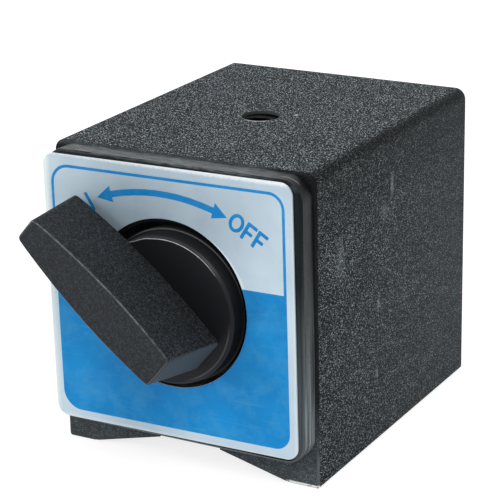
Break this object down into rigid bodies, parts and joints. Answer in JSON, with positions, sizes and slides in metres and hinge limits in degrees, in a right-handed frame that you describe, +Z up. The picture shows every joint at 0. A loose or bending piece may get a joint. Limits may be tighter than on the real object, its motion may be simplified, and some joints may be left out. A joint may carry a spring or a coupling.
{
  "type": "magnetic base",
  "caption": "Block-shaped switchable magnetic base with a pointer knob in front, a threaded post hole on top and a shallow vee underneath.",
  "frame": {"origin": "centre of the bounding box on the floor plane, knob included", "axes": "+Z up along the post hole, -Y towards the knob, +X to the right seen from the knob"},
  "size_m": [0.05, 0.0794, 0.055],
  "materials": {
    "wrinkle_paint": "fine wrinkle",
    "cover_plastic": "satin",
    "label_film": "printed, satin",
    "knob_plastic": "fine grain",
    "bearing_brass": "turned",
    "soft_iron": "machined",
    "magnet_alloy": "ground",
    "fastener_steel": "bright"
  },
  "bodies": {
    "base": {"left_pole_block": "wrinkle_paint", "right_pole_block": "wrinkle_paint", "upper_separator": "wrinkle_paint", "lower_separator": "wrinkle_paint", "front_cover": "cover_plastic", "face_label": "label_film", "cover_screw_1": "fastener_steel", "cover_screw_2": "fastener_steel", "cover_screw_3": "fastener_steel", "cover_screw_4": "fastener_steel", "front_bush": "bearing_brass", "stop_pin": "fastener_steel", "thrust_washer": "bearing_brass", "rear_plug": "wrinkle_paint"},
    "rotor": {"knob": "knob_plastic", "drive_hub": "bearing_brass", "rear_hub": "bearing_brass", "rotor_magnet": "magnet_alloy", "left_rotor_shoe": "soft_iron", "right_rotor_shoe": "soft_iron", "left_rotor_rivet": "fastener_steel", "right_rotor_rivet": "fastener_steel"}
  },
  "joints": [
    {"name": "knob_turn", "type": "hinge", "parent": "base", "child": "rotor", "pos_m": [0, -0.0203, 0.03], "axis": [0, 1, 0], "range_deg": [0, 90]}
  ]
}
